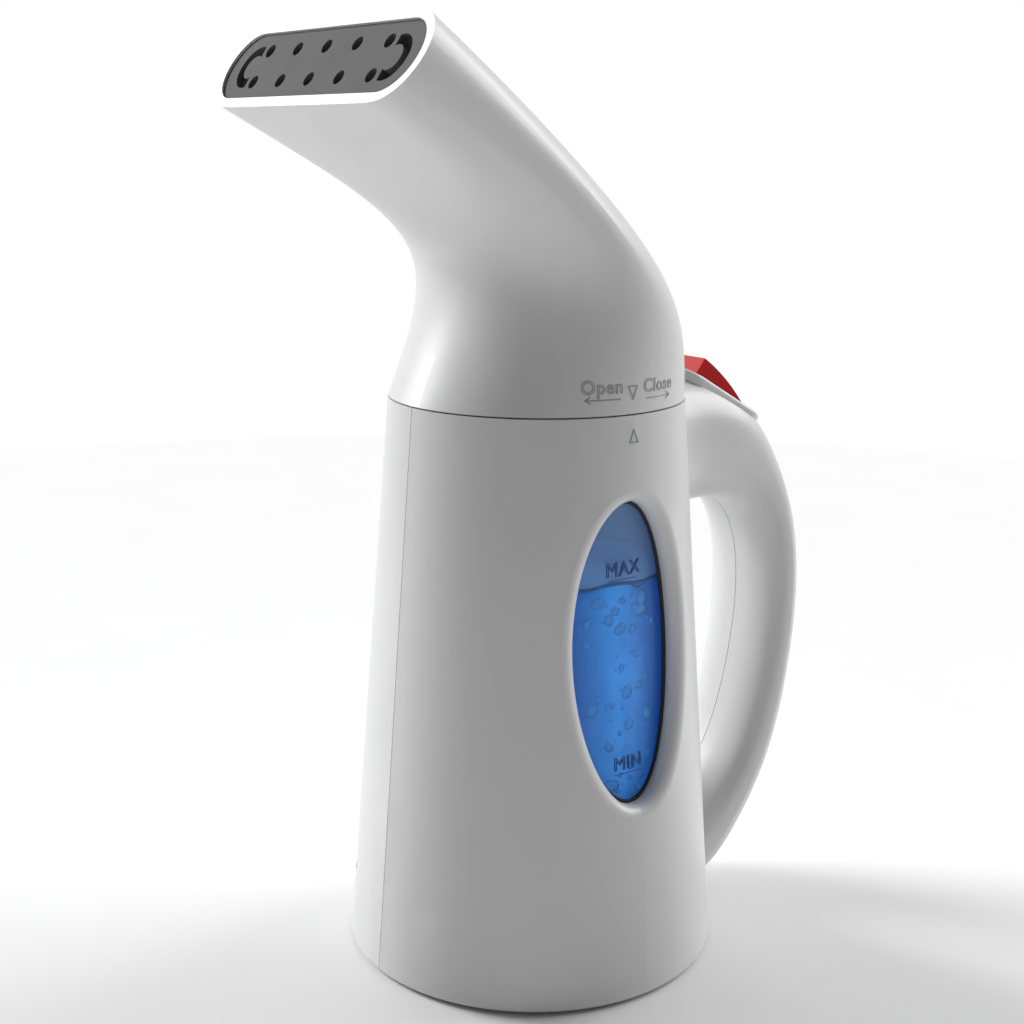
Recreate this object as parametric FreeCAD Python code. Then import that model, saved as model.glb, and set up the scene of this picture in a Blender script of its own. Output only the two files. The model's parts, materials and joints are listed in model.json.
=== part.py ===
import FreeCAD, Part
import math
import os

# Handheld garment steamer, millimetres, +Z up.
# The origin is the centre of the base on the resting surface.
# The nozzle faces -Y, the handle is at +Y and X = 0 is the parting plane of the two shells.

# Body cone
BODY_HEIGHT = 158.0
BASE_RADIUS = 52.6
SEAM_RADIUS = 40.5
FLOOR_GAP = 0.8
SHELL_WALL = 2.4
PARTING_GAP = 0.24
SEAM_GAP = 0.4
BASE_EDGE_ROUND = 1.2

# Window in each shell
WINDOW_Z = 94.2
WINDOW_HALF_HEIGHT = 40.8
WINDOW_HALF_WIDTH = 16.6
WINDOW_BEVEL = 3.2
WINDOW_FRAME = 3.0

# Water tank and boiler
TANK_INSET = 5.5
TANK_WALL = 2.0
TANK_FLOOR = 42.0
TANK_TOP = 147.0
TANK_OPENING = 20.0
HEATER_RADIUS = 30.0
HEATER_THICKNESS = 4.0
GASKET_THICKNESS = 1.0
DOME_RADIUS = 18.0
DOME_HEIGHT = 11.0
ELEMENT_RADIUS = 18.0
ELEMENT_TUBE = 3.3
SHIELD_RADIUS = 29.0

# Base
BASE_PLATE_LOW = 1.0
BASE_PLATE_HIGH = 3.6
BASE_PAD_RADIUS = 14.0
FOOT_RADIUS = 5.0
FOOT_CIRCLE = 40.0
BASE_BOSS_CIRCLE = 46.5
BASE_BOSS_RADIUS = 3.6
BASE_BOSS_TOP = 15.0
BASE_BOSS_ANGLES = (20, 160, 200, 340)
FOOT_ANGLES = (45, 135, 225, 315)

# Cord inlet, low at the rear left
INLET_ANGLE = 135.0
INLET_Z = 14.0
INLET_RADIUS = 5.5
INLET_FLANGE = 7.2
CORD_BORE = 3.3

# Twist lock between body and head
LOCK_COUNT = 3
LOCK_TRAVEL = 30.0
LUG_WIDTH = 24.0
LEDGE_WIDTH = 30.0
STOP_GAP = 1.5
STOP_WIDTH = 3.5
SPIGOT_RADIUS = 31.0
SPIGOT_WALL = 2.0
LUG_REACH = 2.8
NECK_INNER = 34.6
NECK_OUTER = 37.9
LEDGE_INNER = 31.5

# Head, two cubic guide curves in the Y-Z plane and a cubic half-width
BACK_GUIDE = ((40.5, 158.0), (36.6, 179.5), (38.05, 192.4), (-60.0, 253.3))
FRONT_GUIDE = ((-40.5, 158.0), (-20.0, 202.0), (-25.6, 201.0), (-73.9, 232.6))
WIDTH_GUIDE = (40.5, 39.0, 39.0, 47.35)
HEAD_SPANS = 24
SECTION_POINTS = 48
HEAD_WALL = 2.4
MOUTH_LIP = 2.9

# Nozzle plate
PLATE_HALF_LENGTH = 44.05
PLATE_HALF_WIDTH = 9.2
PLATE_THICKNESS = 1.8
PLATE_RECESS = 0.7
GASKET_LINE = 0.55
STEAM_HOLE_RADIUS = 1.9
STEAM_HOLE_PITCH = 14.0
STEAM_ROW_OFFSET = 4.6
END_SLOT_X = 36.5

# Handle stations: y, z, tilt of the section in degrees, half thickness, half width
HANDLE_STATIONS = (
    (30.0, 139.5, 90.0, 24.5, 25.0),
    (51.0, 140.6, 81.0, 18.2, 19.2),
    (70.5, 132.2, 50.0, 13.0, 17.2),
    (81.0, 119.5, 25.0, 8.8, 16.2),
    (86.0, 105.0, 10.0, 7.8, 16.0),
    (87.2, 88.0, 0.0, 7.7, 16.0),
    (85.2, 68.0, -10.5, 8.0, 16.0),
    (80.4, 48.0, -19.0, 8.6, 16.0),
    (72.0, 31.0, -33.0, 9.3, 16.2),
    (60.0, 17.5, -45.0, 10.6, 16.8),
    (47.0, 10.5, -55.0, 9.2, 17.5),
)
SECTION_POWER = 2.5
HANDLE_WALL = 2.6

# Switch on the upper arm of the handle
SWITCH_TILT = 29.0
SWITCH_Y = 62.7
SWITCH_Z = 153.9
BEZEL_LENGTH = 38.0
BEZEL_WIDTH = 23.0
BEZEL_CORNER = 8.0
BEZEL_HEIGHT = 3.0
BEZEL_SKIRT = 7.0
HEAD_CLEARANCE = 2.0
WELL_HALF_LENGTH = 13.1
WELL_HALF_WIDTH = 7.25
ROCKER_HALF_LENGTH = 11.9
ROCKER_HALF_WIDTH = 6.8
ROCKER_PEAK = 6.0
PIVOT_DEPTH = 5.0
PIVOT_RADIUS = 1.2
HOUSING_WALL = 1.6
HOUSING_DEPTH = 13.0

# Fasteners and wires
SCREW_SHANK = 1.25
SCREW_HEAD = 2.6
SCREW_HEAD_HEIGHT = 1.6
SCREW_FIT = 0.05
WIRE_RADIUS = 0.9
WIRE_X = 5.0
SHELL_SCREWS = ((76.2, 38.6), (81.2, 118.8), (-43.0, 22.0))


def vec(x, y, z):
    return FreeCAD.Vector(x, y, z)


def save(shape, node):
    shape.exportStep("parts/" + node + ".step")


def group(solids):
    return Part.makeCompound(solids)


def merge(first, others):
    return first.fuse(others)


def body_radius(z):
    return BASE_RADIUS + (SEAM_RADIUS - BASE_RADIUS) * z / BODY_HEIGHT


def body_cone(low, high, inset):
    return Part.makeCone(body_radius(low) - inset, body_radius(high) - inset, high - low, vec(0, 0, low))


def disc(radius, low, high, x=0.0, y=0.0):
    return Part.makeCylinder(radius, high - low, vec(x, y, low))


def ring(outer, inner, low, high):
    return disc(outer, low, high).cut(disc(inner, low - 1, high + 1))


def rod_x(radius, start, end, y, z):
    return Part.makeCylinder(radius, end - start, vec(start, y, z), vec(1, 0, 0))


def block(x0, x1, y0, y1, z0, z1):
    return Part.makeBox(x1 - x0, y1 - y0, z1 - z0, vec(x0, y0, z0))


def on_circle(radius, degrees):
    angle = math.radians(degrees)
    return radius * math.cos(angle), radius * math.sin(angle)


def turn(shape, degrees):
    copy = shape.copy()
    copy.rotate(vec(0, 0, 0), vec(0, 0, 1), degrees)
    return copy


def sector(outer, inner, low, high, start, end):
    wedge = Part.makeCylinder(outer, high - low, vec(0, 0, low), vec(0, 0, 1), end - start)
    return turn(wedge, start).cut(disc(inner, low - 1, high + 1))


def wire_through(corners, bend):
    """Straight runs joined by tangent arcs."""
    edges = []
    start = corners[0]
    for before, corner, after in zip(corners, corners[1:], corners[2:]):
        back = (before - corner).normalize()
        ahead = (after - corner).normalize()
        half = back.getAngle(ahead) / 2
        reach = bend / math.tan(half)
        middle = (back + ahead).normalize() * (bend / math.sin(half) - bend)
        enter = corner + back * reach
        leave = corner + ahead * reach
        edges.append(Part.makeLine(start, enter))
        edges.append(Part.Arc(enter, corner + middle, leave).toShape())
        start = leave
    edges.append(Part.makeLine(start, corners[-1]))
    return Part.Wire(edges)


def tube(corners, bend, radius):
    path = wire_through(corners, bend)
    circle = Part.makeCircle(radius, corners[0], corners[1] - corners[0])
    return path.makePipeShell([Part.Wire([circle])], True, False)


def smooth_section(points):
    curve = Part.BSplineCurve()
    even = [index / len(points) for index in range(len(points) + 1)]
    curve.interpolate(Points=points, PeriodicFlag=True, Parameters=even)
    return Part.Wire([curve.toShape()])


# Shells

def rounded_power(angle, half_x, half_y, power):
    c = math.cos(angle)
    s = math.sin(angle)
    x = half_x * math.copysign(abs(c) ** (2 / power), c)
    y = half_y * math.copysign(abs(s) ** (2 / power), s)
    return x, y


def handle_section(station, inset):
    y, z, tilt, half_thickness, half_width = station
    out = vec(0, math.cos(math.radians(tilt)), math.sin(math.radians(tilt)))
    points = []
    for step in range(24):
        angle = 2 * math.pi * (step + 0.5) / 24
        across, along = rounded_power(angle, half_width - inset, half_thickness - inset, SECTION_POWER)
        points.append(vec(across, y, z) + out * along)
    return smooth_section(points)


def handle_solid(inset):
    sections = [handle_section(station, inset) for station in HANDLE_STATIONS]
    return Part.makeLoft(sections, True, False, False, 3)


def window_prism(half_width, half_height):
    centre = vec(0, 0, WINDOW_Z)
    outline = Part.Ellipse(centre + vec(0, 0, half_height), centre + vec(0, half_width, 0), centre)
    face = Part.Face(Part.Wire([outline.toShape()]))
    return face.extrude(vec(BASE_RADIUS + 10, 0, 0))


def switch_direction():
    tilt = math.radians(SWITCH_TILT)
    return vec(0, math.cos(tilt), -math.sin(tilt)), vec(0, math.sin(tilt), math.cos(tilt))


def switch_place(shape):
    """Moves a shape from switch coordinates (y rearward, z out of the handle) onto the arm."""
    copy = shape.copy()
    copy.rotate(vec(0, 0, 0), vec(1, 0, 0), -SWITCH_TILT)
    copy.translate(vec(0, SWITCH_Y, SWITCH_Z))
    return copy


def switch_block(half_x, half_y, low, high):
    return block(-half_x, half_x, -half_y, half_y, low, high)


def rounded_block(half_x, half_y, low, high, corner):
    solid = switch_block(half_x, half_y, low, high)
    upright = [edge for edge in solid.Edges if abs(edge.tangentAt(0).z) > 0.9]
    return solid.makeFillet(corner, upright)


def outer_form():
    cone = body_cone(FLOOR_GAP, BODY_HEIGHT - SEAM_GAP, 0)
    base_edges = [edge for edge in cone.Edges if abs(edge.BoundBox.ZMax - FLOOR_GAP) < 0.01]
    cone = cone.makeFillet(BASE_EDGE_ROUND, base_edges)
    handle = handle_solid(0).cut(body_cone(-20, BODY_HEIGHT + 20, 6))
    over_bezel = switch_place(switch_block(40, 60, -BEZEL_HEIGHT, 60))
    underside = -BEZEL_HEIGHT
    skirt = rounded_block(BEZEL_WIDTH / 2 - 0.4, BEZEL_LENGTH / 2 - 0.4, underside - BEZEL_SKIRT, underside,
                          BEZEL_CORNER)
    arm = merge(handle.cut(over_bezel), [switch_place(skirt)])
    arm = arm.cut(disc(SEAM_RADIUS + HEAD_CLEARANCE, BODY_HEIGHT - SEAM_GAP, BODY_HEIGHT + 40))
    return merge(cone, [arm])


def inner_form():
    cone = body_cone(-5, BODY_HEIGHT + 5, SHELL_WALL)
    cavity = handle_solid(HANDLE_WALL).cut(body_cone(-20, BODY_HEIGHT + 20, 8))
    roof = switch_place(switch_block(40, 60, -BEZEL_HEIGHT - HANDLE_WALL, 60))
    front = SEAM_RADIUS + HEAD_CLEARANCE + HANDLE_WALL
    front_wall = disc(front, BODY_HEIGHT - SEAM_GAP - HANDLE_WALL, BODY_HEIGHT + 40)
    return merge(cone, [cavity.cut(roof).cut(front_wall)])


def shell_screw_boss(y, z, side, form):
    start = PARTING_GAP / 2
    rod = rod_x(4.4, start, 60, y, z) if side < 0 else rod_x(3.6, start, 60, y, z)
    if side < 0:
        rod.rotate(vec(0, y, z), vec(0, 0, 1), 180)
    return rod.common(form)


def base_bosses():
    return [disc(BASE_BOSS_RADIUS, BASE_PLATE_HIGH, BASE_BOSS_TOP, *on_circle(BASE_BOSS_CIRCLE, angle))
            for angle in BASE_BOSS_ANGLES]


def inlet_rod(radius, start, end):
    across, along = on_circle(1, INLET_ANGLE)
    direction = vec(across, along, 0)
    return Part.makeCylinder(radius, end - start, direction * start + vec(0, 0, INLET_Z), direction)


def shell(side, outer, inner):
    walls = outer.cut(inner)
    frame = window_prism(WINDOW_HALF_WIDTH + WINDOW_FRAME, WINDOW_HALF_HEIGHT + WINDOW_FRAME)
    opening = window_prism(WINDOW_HALF_WIDTH, WINDOW_HALF_HEIGHT)
    frame = frame.common(body_cone(20, 150, 0.5)).cut(body_cone(20, 150, TANK_INSET - 0.2))
    bosses = [shell_screw_boss(y, z, side, outer) for y, z in SHELL_SCREWS]
    rib = body_cone(TANK_TOP - 4, TANK_TOP - 2.1, SHELL_WALL - 0.2)
    rib = rib.cut(body_cone(TANK_TOP - 5, TANK_TOP, TANK_INSET - 0.3))
    rib = rib.cut(block(-9, 9, 20, 60, 100, 200))
    if side < 0:
        frame.rotate(vec(0, 0, 0), vec(0, 0, 1), 180)
        opening.rotate(vec(0, 0, 0), vec(0, 0, 1), 180)
    whole = merge(walls, [frame, rib] + bosses + base_bosses())
    limit = block(PARTING_GAP / 2, 90, -90, 120, -5, 200)
    if side < 0:
        limit = block(-90, -PARTING_GAP / 2, -90, 120, -5, 200)
    half = whole.common(limit).cut(opening)
    for angle in BASE_BOSS_ANGLES:
        half = half.cut(disc(SCREW_SHANK + SCREW_FIT, 0, 13, *on_circle(BASE_BOSS_CIRCLE, angle)))
    for y, z in SHELL_SCREWS:
        half = half.cut(rod_x(SCREW_SHANK + SCREW_FIT, -7, 9, y, z))
        half = half.cut(rod_x(SCREW_HEAD + 0.3, -60, -6, y, z))
    half = half.cut(inlet_rod(INLET_RADIUS + 0.05, 40, 60))
    across = WELL_HALF_WIDTH + HOUSING_WALL + 0.2
    along = WELL_HALF_LENGTH + HOUSING_WALL + 0.2
    return half.cut(switch_place(switch_block(across, along, -HOUSING_DEPTH - 2, 5)))


def soften_window(half, side):
    """Rounds the outer edge of the window."""
    edges = []
    for edge in half.Edges:
        box = edge.BoundBox
        inside_low = box.ZMin > WINDOW_Z - WINDOW_HALF_HEIGHT - 0.5
        inside_high = box.ZMax < WINDOW_Z + WINDOW_HALF_HEIGHT + 0.5
        point = edge.valueAt(edge.FirstParameter)
        outward = abs(math.hypot(point.x, point.y) - body_radius(point.z)) < 0.1 and point.x * side > 30
        if inside_low and inside_high and outward and box.ZLength > 30:
            edges.append(edge)
    return half.makeFillet(WINDOW_BEVEL, edges)


def shell_screws():
    screws = []
    for y, z in SHELL_SCREWS:
        shank = rod_x(SCREW_SHANK, -6, 8, y, z)
        head = rod_x(SCREW_HEAD, -6 - SCREW_HEAD_HEIGHT, -6, y, z)
        drive = block(-8, -7, y - 1.8, y + 1.8, z - 0.3, z + 0.3)
        cross = block(-8, -7, y - 0.3, y + 0.3, z - 1.8, z + 1.8)
        screws.append(merge(shank, [head]).cut(drive).cut(cross))
    return group(screws)


# Base

def base_plate():
    plate = disc(body_radius(BASE_PLATE_HIGH) - SHELL_WALL - 0.3, BASE_PLATE_LOW, BASE_PLATE_HIGH)
    for angle in BASE_BOSS_ANGLES:
        x, y = on_circle(BASE_BOSS_CIRCLE, angle)
        plate = plate.cut(disc(SCREW_SHANK + 0.3, 0, 5, x, y))
        plate = plate.cut(disc(SCREW_HEAD + 0.2, 0, BASE_PLATE_LOW + SCREW_HEAD_HEIGHT + 0.1, x, y))
    for angle in FOOT_ANGLES:
        plate = plate.cut(disc(FOOT_RADIUS + 0.05, 0, 2.0, *on_circle(FOOT_CIRCLE, angle)))
    locator = ring(SHIELD_RADIUS - 2.1, SHIELD_RADIUS - 3.6, BASE_PLATE_HIGH - 0.2, BASE_PLATE_HIGH + 2)
    posts = [disc(2.6, BASE_PLATE_HIGH - 0.2, INLET_Z - 4.2, x, y) for x, y in clamp_screw_places()]
    pad = disc(BASE_PAD_RADIUS, 0, BASE_PLATE_LOW + 0.2)
    plate = merge(plate, [locator, pad] + posts)
    for x, y in clamp_screw_places():
        plate = plate.cut(disc(SCREW_SHANK + SCREW_FIT, BASE_PLATE_HIGH, INLET_Z, x, y))
    for x, y in terminal_screw_places():
        plate = plate.cut(disc(SCREW_SHANK + SCREW_FIT, 0, 5, x, y))
    return plate


def upright_screw(x, y, top_of_seat, length):
    """Pan head screw driven downward, its head standing on the seat."""
    shank = disc(SCREW_SHANK, top_of_seat - length, top_of_seat, x, y)
    head = disc(SCREW_HEAD, top_of_seat, top_of_seat + SCREW_HEAD_HEIGHT, x, y)
    slot = block(x - 3, x + 3, y - 0.3, y + 0.3, top_of_seat + 0.9, top_of_seat + 3)
    return merge(shank, [head]).cut(slot)


def base_screws():
    screws = []
    seat = BASE_PLATE_LOW + SCREW_HEAD_HEIGHT + 0.1
    for angle in BASE_BOSS_ANGLES:
        x, y = on_circle(BASE_BOSS_CIRCLE, angle)
        shank = disc(SCREW_SHANK, seat, 12.5, x, y)
        head = disc(SCREW_HEAD, seat - SCREW_HEAD_HEIGHT, seat, x, y)
        slot = block(x - 3, x + 3, y - 0.3, y + 0.3, 0, BASE_PLATE_LOW + 0.8)
        screws.append(merge(shank, [head]).cut(slot))
    return group(screws)


def rubber_feet():
    feet = []
    for angle in FOOT_ANGLES:
        foot = disc(FOOT_RADIUS, 0, 2.0, *on_circle(FOOT_CIRCLE, angle))
        rim = [edge for edge in foot.Edges if abs(edge.BoundBox.ZMax) < 0.01]
        feet.append(foot.makeFillet(0.5, rim))
    return group(feet)


# Cord inlet and terminals

def cord_bush():
    reach = body_radius(INLET_Z)
    barrel = inlet_rod(INLET_RADIUS, reach - 6, reach + 1.6)
    inside = inlet_rod(INLET_FLANGE, reach - 6, reach - 4)
    outside = inlet_rod(INLET_FLANGE, reach + 0.8, reach + 2.4)
    return merge(barrel, [inside, outside]).cut(inlet_rod(CORD_BORE, 30, 70))


def clamp_screw_places():
    places = []
    for spread in (-11.5, 11.5):
        across, along = on_circle(1, INLET_ANGLE)
        places.append((across * 38.5 - along * spread, along * 38.5 + across * spread))
    return places


def cord_clamp():
    bar = block(-14.5, 14.5, -3, 3, INLET_Z - 4, INLET_Z + 4.6)
    bar = bar.cut(block(-20, -8, -4, 4, INLET_Z - 1, INLET_Z + 10))
    bar = bar.cut(block(8, 20, -4, 4, INLET_Z - 1, INLET_Z + 10))
    bar = bar.cut(Part.makeCylinder(CORD_BORE, 8, vec(0, -4, INLET_Z), vec(0, 1, 0)))
    for x in (-11.5, 11.5):
        bar = bar.cut(disc(SCREW_SHANK + 0.2, 0, INLET_Z + 5, x, 0))
    bar.translate(vec(0, 38.5, 0))
    return turn(bar, INLET_ANGLE - 90)


def clamp_screws():
    return group([upright_screw(x, y, INLET_Z - 1, 7) for x, y in clamp_screw_places()])


def terminal_screw_places():
    return ((-11.0, 37.5), (11.0, 37.5))


def terminal_block():
    body = block(-14.5, 14.5, 32.5, 42.5, BASE_PLATE_HIGH, BASE_PLATE_HIGH + 9)
    body = body.makeFillet(0.8, [edge for edge in body.Edges if abs(edge.tangentAt(0).z) > 0.9])
    for x in (-WIRE_X, WIRE_X):
        body = body.cut(disc(2.3, BASE_PLATE_HIGH + 4, 20, x, 37.5))
    for x, y in terminal_screw_places():
        body = body.cut(disc(SCREW_SHANK + 0.2, 0, 20, x, y))
        body = body.cut(disc(SCREW_HEAD + 0.1, BASE_PLATE_HIGH + 5, 20, x, y))
    return body


def terminal_clamps():
    solids = []
    for x in (-WIRE_X, WIRE_X):
        post = disc(2.2, BASE_PLATE_HIGH + 4, BASE_PLATE_HIGH + 7.5, x, 37.5)
        solids.append(post.cut(block(x - 3, x + 3, 37.1, 37.9, BASE_PLATE_HIGH + 6.8, 20)))
    return group(solids)


def terminal_screws():
    return group([upright_screw(x, y, BASE_PLATE_HIGH + 5, 7.2) for x, y in terminal_screw_places()])


# Water tank and boiler

def water_tank():
    outside = body_cone(TANK_FLOOR, TANK_TOP, TANK_INSET)
    inside = body_cone(TANK_FLOOR + TANK_WALL, TANK_TOP + 5, TANK_INSET + TANK_WALL)
    flange = body_cone(TANK_TOP - 2, TANK_TOP, SHELL_WALL + 0.25)
    tank = merge(outside, [flange]).cut(inside)
    return tank.cut(disc(TANK_OPENING, TANK_FLOOR - 1, TANK_FLOOR + TANK_WALL + 1))


def tank_gasket():
    return ring(NECK_OUTER - 0.2, NECK_INNER + 0.4, TANK_TOP, TANK_TOP + GASKET_THICKNESS)


def heater_gasket():
    return ring(HEATER_RADIUS, TANK_OPENING + 0.6, TANK_FLOOR - GASKET_THICKNESS, TANK_FLOOR)


def heater_plate():
    top = TANK_FLOOR - GASKET_THICKNESS
    plate = disc(HEATER_RADIUS, top - HEATER_THICKNESS, top)
    pan = disc(TANK_OPENING - 0.5, top - 1, top + 1.2)
    return merge(plate, [pan]).cut(disc(TANK_OPENING - 2.5, top - 0.6, top + 3))


def element_centre_z():
    return TANK_FLOOR - GASKET_THICKNESS - HEATER_THICKNESS - ELEMENT_TUBE


def heating_element():
    z = element_centre_z()
    gap = math.degrees(math.asin(WIRE_X / ELEMENT_RADIUS))
    loop = Part.makeTorus(ELEMENT_RADIUS, ELEMENT_TUBE, vec(0, 0, z), vec(0, 0, 1), -180, 180, 360 - 2 * gap)
    loop = turn(loop, 90 + gap)
    parts = []
    for angle in (90 - gap, 90 + gap):
        x, y = on_circle(ELEMENT_RADIUS, angle)
        parts.append(Part.makeSphere(ELEMENT_TUBE, vec(x, y, z)))
        parts.append(disc(ELEMENT_TUBE, z - 5, z, x, y))
        parts.append(disc(1.2, z - 10, z - 4, x, y))
    return merge(loop, parts)


def thermostat():
    top = TANK_FLOOR - GASKET_THICKNESS - HEATER_THICKNESS
    cap = disc(8.5, top - 1.5, top)
    body = disc(7.4, top - 6.5, top - 1.4)
    return merge(cap, [body])


def thermostat_tabs():
    top = TANK_FLOOR - GASKET_THICKNESS - HEATER_THICKNESS - 6.5
    return group([block(x - 0.4, x + 0.4, -2.2, 2.2, top - 6, top) for x in (-4.0, 4.0)])


def thermal_fuse():
    z = TANK_FLOOR - GASKET_THICKNESS - HEATER_THICKNESS - 1.9
    return rod_x(1.85, -4, 4, -11.6, z)


def heat_shield():
    top = TANK_FLOOR - GASKET_THICKNESS - HEATER_THICKNESS
    wall = ring(SHIELD_RADIUS, SHIELD_RADIUS - 2, BASE_PLATE_HIGH, top)
    collar = ring(SHIELD_RADIUS + 4, SHIELD_RADIUS - 2, top - 2, top)
    lip = ring(SHIELD_RADIUS + 4, HEATER_RADIUS + 0.3, top - 1, TANK_FLOOR)
    shield = merge(wall, [collar, lip])
    for x in (-WIRE_X, WIRE_X):
        shield = shield.cut(Part.makeCylinder(2.2, 20, vec(x, 15, BASE_PLATE_HIGH + 5), vec(0, 1, 0)))
    return shield


def boiler_dome():
    low = TANK_FLOOR - GASKET_THICKNESS + 1.2
    radius = DOME_RADIUS
    dome = ring(radius, radius - 1.2, low, low + DOME_HEIGHT)
    roof = disc(radius, low + DOME_HEIGHT - 1.2, low + DOME_HEIGHT)
    dome = merge(dome, [roof])
    for index in range(8):
        vent = block(radius - 4, radius + 3, -2, 2, low + 2, low + 5)
        dome = dome.cut(turn(vent, 45 * index))
    for index in range(6):
        dome = dome.cut(disc(1.8, low, low + 20, *on_circle(radius * 0.55, 60 * index)))
    return dome


# Twist lock

def neck_ring():
    low = TANK_TOP + GASKET_THICKNESS
    collar = ring(NECK_OUTER, NECK_INNER, low, BODY_HEIGHT - 0.8)
    step = LUG_WIDTH / 2 + STOP_GAP
    parts = []
    for index in range(LOCK_COUNT):
        centre = 90 + 360 * index / LOCK_COUNT
        ledge = (centre - LEDGE_WIDTH / 2, centre + LEDGE_WIDTH / 2)
        closed_stop = (centre + step, centre + step + STOP_WIDTH)
        open_stop = (centre - LOCK_TRAVEL - step - STOP_WIDTH, centre - LOCK_TRAVEL - step)
        parts.append(sector(NECK_INNER + 0.3, LEDGE_INNER, low + 4.3, low + 7, *ledge))
        parts.append(sector(NECK_INNER + 0.3, LEDGE_INNER, low + 0.2, low + 7, *closed_stop))
        parts.append(sector(NECK_INNER + 0.3, LEDGE_INNER, low + 0.2, low + 7, *open_stop))
    return merge(collar, parts)


def twist_ring():
    low = TANK_TOP + GASKET_THICKNESS + 0.7
    top = BODY_HEIGHT + 3.2
    spigot = ring(SPIGOT_RADIUS, SPIGOT_RADIUS - SPIGOT_WALL, low, top)
    flange = ring(head_width(0) - HEAD_WALL - 0.4, SPIGOT_RADIUS - SPIGOT_WALL, BODY_HEIGHT + 0.7, top)
    lugs = []
    for index in range(LOCK_COUNT):
        centre = 90 + 360 * index / LOCK_COUNT
        lugs.append(sector(SPIGOT_RADIUS + LUG_REACH, SPIGOT_RADIUS - 0.4, low + 0.5, low + 3,
                           centre - LUG_WIDTH / 2, centre + LUG_WIDTH / 2))
    return merge(spigot, [flange] + lugs)


def head_seal():
    return ring(SPIGOT_RADIUS + 2.9, SPIGOT_RADIUS + 0.02, BODY_HEIGHT - 2.4, BODY_HEIGHT + 0.7)


def steam_baffle():
    low = TANK_TOP + GASKET_THICKNESS + 3
    plate = disc(SPIGOT_RADIUS - SPIGOT_WALL - 0.05, low, low + 1.5)
    for index in range(12):
        plate = plate.cut(disc(2.5, low - 1, low + 3, *on_circle(22, 30 * index)))
    for index in range(6):
        plate = plate.cut(disc(2.5, low - 1, low + 3, *on_circle(12, 60 * index)))
    return plate


# Head

def cubic(points, t):
    weights = ((1 - t) ** 3, 3 * t * (1 - t) ** 2, 3 * t * t * (1 - t), t ** 3)
    return sum(weight * value for weight, value in zip(weights, points))


def guide(points, t):
    return vec(0, cubic([p[0] for p in points], t), cubic([p[1] for p in points], t))


def head_width(t):
    return cubic(WIDTH_GUIDE, t)


def stadium_point(angle, half_x, half_y):
    """Point on a stadium, spaced evenly along each quarter of its outline."""
    radius = min(half_x, half_y)
    arc = radius * math.pi / 2
    quarter, turned = divmod(angle, math.pi / 2)
    if quarter % 2:
        turned = math.pi / 2 - turned
    run = turned / (math.pi / 2) * (arc + half_x - radius)
    if run < arc:
        x = half_x - radius + radius * math.cos(run / radius)
        y = half_y - radius + radius * math.sin(run / radius)
    else:
        x = half_x - radius - (run - arc)
        y = half_y
    return math.copysign(x, math.cos(angle)), math.copysign(y, math.sin(angle))


def head_section(t, inset):
    back = guide(BACK_GUIDE, t)
    front = guide(FRONT_GUIDE, t)
    centre = (back + front) * 0.5
    across = (back - front).normalize()
    half_x = head_width(t) - inset
    half_y = back.distanceToPoint(front) / 2 - inset
    points = []
    for step in range(SECTION_POINTS):
        angle = 2 * math.pi * (step + 0.5) / SECTION_POINTS
        x, y = stadium_point(angle, half_x, half_y)
        x = (1 - t) * half_x * math.cos(angle) + t * x
        y = (1 - t) * half_y * math.sin(angle) + t * y
        points.append(vec(x, 0, 0) + centre + across * y)
    return points


def tube_face(rings):
    """Smooth tubular face whose control points are the rings, closed around each ring."""
    count = len(rings[0])
    spans = len(rings) - 3
    poles = [[ring_points[index] for ring_points in rings] for index in range(count)]
    surface = Part.BSplineSurface()
    surface.buildFromPolesMultsKnots(poles, [1] * (count + 1), [4] + [1] * (spans - 1) + [4],
                                     list(range(count + 1)), list(range(spans + 1)), True, False, 3, 3)
    return Part.Face(surface)


def end_wire(face, low_end):
    """The closed outline at the first or last ring of a tubular face."""
    value = face.ParameterRange[2] if low_end else face.ParameterRange[3]
    target = face.Surface.value(0.5, value)
    closed = [edge for edge in face.Edges if edge.isClosed()]
    return Part.Wire([min(closed, key=lambda edge: edge.distToShape(Part.Vertex(target))[0])])


def mouth_frame():
    """Centre, direction across the slot and outward direction of the mouth."""
    back = guide(BACK_GUIDE, 1)
    front = guide(FRONT_GUIDE, 1)
    across = (back - front).normalize()
    return (back + front) * 0.5, across, vec(1, 0, 0).cross(across)


def mouth_place(shape):
    """Moves a shape from mouth coordinates (y across the slot, z outward) onto the mouth."""
    centre, across, _ = mouth_frame()
    tilt = math.degrees(math.atan2(across.z, across.y))
    copy = shape.copy()
    copy.rotate(vec(0, 0, 0), vec(1, 0, 0), tilt)
    copy.translate(centre)
    return copy


def stadium_prism(half_length, half_width, low, high):
    straight = half_length - half_width
    middle = block(-straight, straight, -half_width, half_width, low, high)
    ends = [disc(half_width, low, high, x, 0) for x in (-straight, straight)]
    return merge(middle, ends).removeSplitter()


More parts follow.
